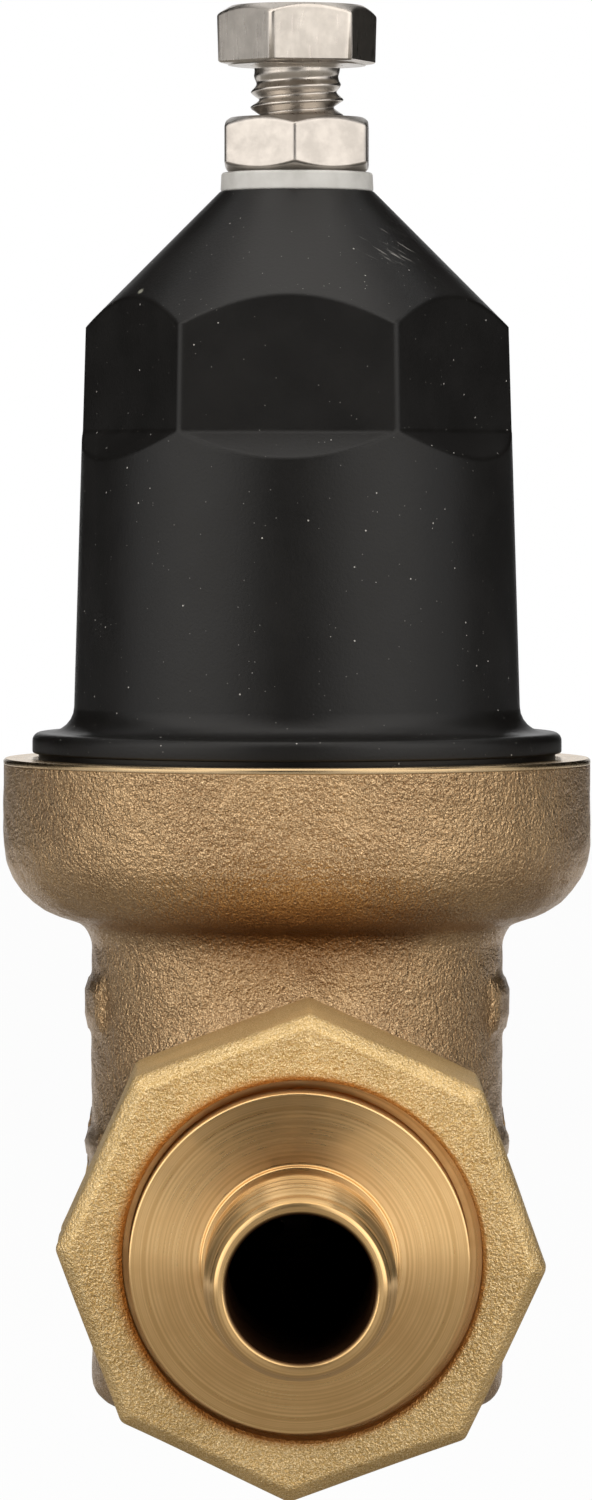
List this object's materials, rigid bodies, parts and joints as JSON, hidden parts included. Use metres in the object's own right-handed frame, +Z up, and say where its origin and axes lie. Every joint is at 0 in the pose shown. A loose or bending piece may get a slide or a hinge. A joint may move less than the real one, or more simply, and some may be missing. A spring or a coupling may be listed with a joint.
{
  "type": "pressure reducing valve",
  "caption": "Direct acting water pressure reducing valve with double union crimp tails, black bonnet and adjusting bolt.",
  "frame": {"origin": "where the valve axis crosses the pipe run", "axes": "+Z up the valve axis to the adjusting bolt, -Y towards the inlet, +Y towards the outlet, +X the flow's left-hand side turned to the viewer's right when facing the inlet"},
  "size_m": [0.059, 0.15, 0.1442],
  "materials": {
    "cast_bronze": "sand cast",
    "nut_brass": "fine cast",
    "turned_brass": "turned",
    "black_composite": "moulded, matte",
    "stainless": "bright",
    "spring_steel": "oiled",
    "white_plastic": "translucent",
    "black_rubber": "matte",
    "grey_gasket": "matte"
  },
  "bodies": {
    "valve": {"body": "cast_bronze", "bonnet": "black_composite", "bolt_insert": "turned_brass", "adjusting_spring": "spring_steel", "diaphragm": "black_rubber", "friction_ring": "turned_brass", "seat_cartridge": "turned_brass", "cartridge_seal": "black_rubber", "strainer_screen": "stainless", "strainer_base": "white_plastic", "bias_spring": "stainless", "union_gasket_inlet": "grey_gasket", "union_gasket_outlet": "grey_gasket"},
    "stem_group": {"stem": "stainless", "disc_retainer": "stainless", "seat_disc": "black_rubber", "disc_holder": "turned_brass", "disc_nut": "stainless", "diaphragm_plate": "turned_brass", "lower_spring_button": "turned_brass", "diaphragm_nut": "stainless"},
    "spring_button": {"upper_spring_button": "spring_steel"},
    "bolt": {"adjusting_bolt": "stainless"},
    "washer": {"sealing_washer": "white_plastic"},
    "jam_nut": {"lock_nut": "stainless"},
    "inlet_tail": {"tailpiece_inlet": "turned_brass"},
    "inlet_nut": {"union_nut_inlet": "nut_brass"},
    "outlet_tail": {"tailpiece_outlet": "turned_brass"},
    "outlet_nut": {"union_nut_outlet": "nut_brass"}
  },
  "joints": [
    {"name": "stem_lift", "type": "slide", "parent": "valve", "child": "stem_group", "axis": [0, 0, 1], "range_m": [0, 0.0024], "stiffness_N_per_m": 400, "springref_m": -0.004, "deforming": ["diaphragm", "bias_spring"]},
    {"name": "button_travel", "type": "slide", "parent": "valve", "child": "spring_button", "axis": [0, 0, 1], "range_m": [-0.0032, 0.0064], "deforming": ["adjusting_spring"]},
    {"name": "bolt_turn", "type": "hinge", "parent": "spring_button", "child": "bolt", "pos_m": [0, 0, 0.0805], "axis": [0, 0, 1], "range_deg": [-720, 1440]},
    {"name": "washer_travel", "type": "slide", "parent": "valve", "child": "washer", "axis": [0, 0, 1], "range_m": [0, 0.002]},
    {"name": "lock_nut_turn", "type": "hinge", "parent": "washer", "child": "jam_nut", "pos_m": [0, 0, 0.1043], "axis": [0, 0, 1], "range_deg": [0, 450]},
    {"name": "inlet_tail_travel", "type": "slide", "parent": "valve", "child": "inlet_tail", "axis": [0, -1, 0], "range_m": [0, 0.01455]},
    {"name": "inlet_nut_turn", "type": "hinge", "parent": "inlet_tail", "child": "inlet_nut", "pos_m": [0, -0.0254, 0], "axis": [0, -1, 0], "range_deg": [0, 2880]},
    {"name": "outlet_tail_travel", "type": "slide", "parent": "valve", "child": "outlet_tail", "axis": [0, 1, 0], "range_m": [0, 0.01455]},
    {"name": "outlet_nut_turn", "type": "hinge", "parent": "outlet_tail", "child": "outlet_nut", "pos_m": [0, 0.0254, 0], "axis": [0, 1, 0], "range_deg": [0, 2880]}
  ],
  "couplings": [
    {"joint": "button_travel", "follows": "bolt_turn", "m_per_rad": 0.00025266},
    {"joint": "washer_travel", "follows": "lock_nut_turn", "m_per_rad": 0.00025266},
    {"joint": "inlet_tail_travel", "follows": "inlet_nut_turn", "m_per_rad": 0.00028876},
    {"joint": "outlet_tail_travel", "follows": "outlet_nut_turn", "m_per_rad": 0.00028876}
  ]
}
